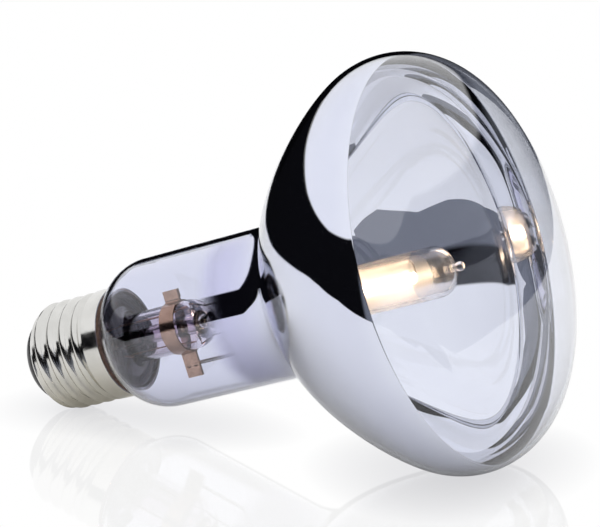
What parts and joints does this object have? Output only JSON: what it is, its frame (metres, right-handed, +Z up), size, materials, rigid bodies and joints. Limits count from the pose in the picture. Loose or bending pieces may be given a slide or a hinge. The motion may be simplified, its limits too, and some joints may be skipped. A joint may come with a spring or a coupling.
{
  "type": "halogen reflector lamp",
  "caption": "Reflector spot lamp with a screw cap, a mirrored tinted glass bulb with clear front, and a halogen burner inside, lying on its side.",
  "frame": {"origin": "middle of the box round the lamp as it lies, on the floor", "axes": "+Z up; +X from the cap to the bulb's front, along the floor; the lamp's axis rises towards +X"},
  "size_m": [0.1324, 0.0954, 0.0924],
  "materials": {
    "cap_nickel": "nickel-plated, bright",
    "cap_black_glass": "black, glossy",
    "contact_brass": "satin",
    "solder": "dull",
    "cement": "matte",
    "tinted_glass": "clear, lavender-blue tint",
    "mirror_aluminium": "evaporated aluminium",
    "stem_glass": "clear",
    "copper": "bare wire",
    "seal_copper": "red-brown oxide",
    "nickel_wire": "drawn wire",
    "strap_nickel": "rolled strip",
    "quartz": "clear",
    "molybdenum": "drawn",
    "tungsten": "drawn wire",
    "tungsten_lit": "glowing"
  },
  "bodies": {
    "root": {"screw_shell": "cap_nickel", "cap_insulator": "cap_black_glass", "contact_plate": "contact_brass", "contact_solder": "solder", "side_solder": "solder", "basing_cement": "cement", "outer_bulb": "tinted_glass", "mirror_film": "mirror_aluminium", "glass_stem": "stem_glass", "outer_lead_centre": "copper", "outer_lead_side": "copper", "seal_wires": "seal_copper", "inner_lead_centre": "nickel_wire", "inner_lead_side": "nickel_wire", "clamp_strap_near": "strap_nickel", "clamp_strap_far": "strap_nickel", "support_wire": "nickel_wire", "burner_capsule": "quartz", "burner_pins": "molybdenum", "burner_foils": "molybdenum", "filament_rear_leg": "tungsten", "filament_return_lead": "tungsten", "filament_coil": "tungsten_lit"}
  },
  "joints": []
}
